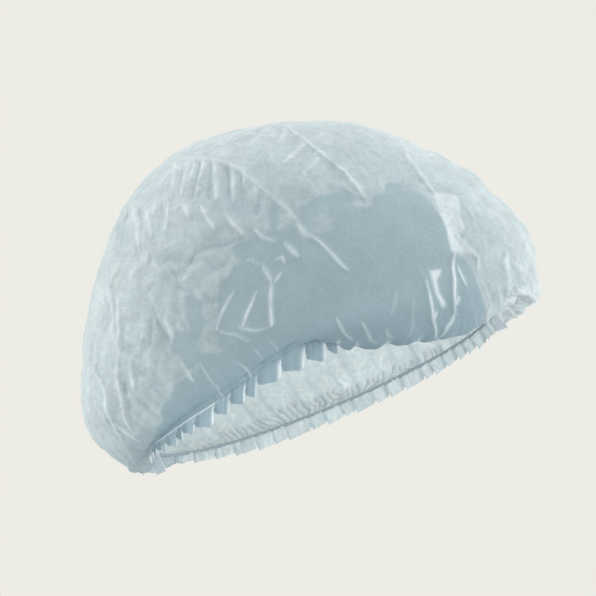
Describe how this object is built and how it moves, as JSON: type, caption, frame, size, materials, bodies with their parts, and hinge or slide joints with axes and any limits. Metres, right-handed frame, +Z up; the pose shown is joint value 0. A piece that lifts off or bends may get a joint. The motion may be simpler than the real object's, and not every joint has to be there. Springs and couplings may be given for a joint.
{
  "type": "disposable hair cover cap",
  "caption": "Full gathered dome cap of thin pale blue nonwoven cloth, held round the head by an elastic with a short frill below it and a welded tab at front and back.",
  "frame": {"origin": "centre of the oval elastic line, where the cap sits on the head", "axes": "+Z up as worn, -Y to the front of the cap, +X to the wearer's left"},
  "size_m": [0.1916, 0.2424, 0.1872],
  "materials": {
    "crown_cloth": "thin crinkled nonwoven cloth",
    "frill_cloth": "thin gathered nonwoven cloth",
    "elastic": "covered elastic thread",
    "welded_cloth": "cloth layers pressed and welded together"
  },
  "bodies": {
    "root": {"crown": "crown_cloth", "frill_left": "frill_cloth", "frill_right": "frill_cloth", "elastic_left": "elastic", "elastic_right": "elastic", "end_weld_front": "welded_cloth", "end_weld_back": "welded_cloth"}
  },
  "joints": []
}
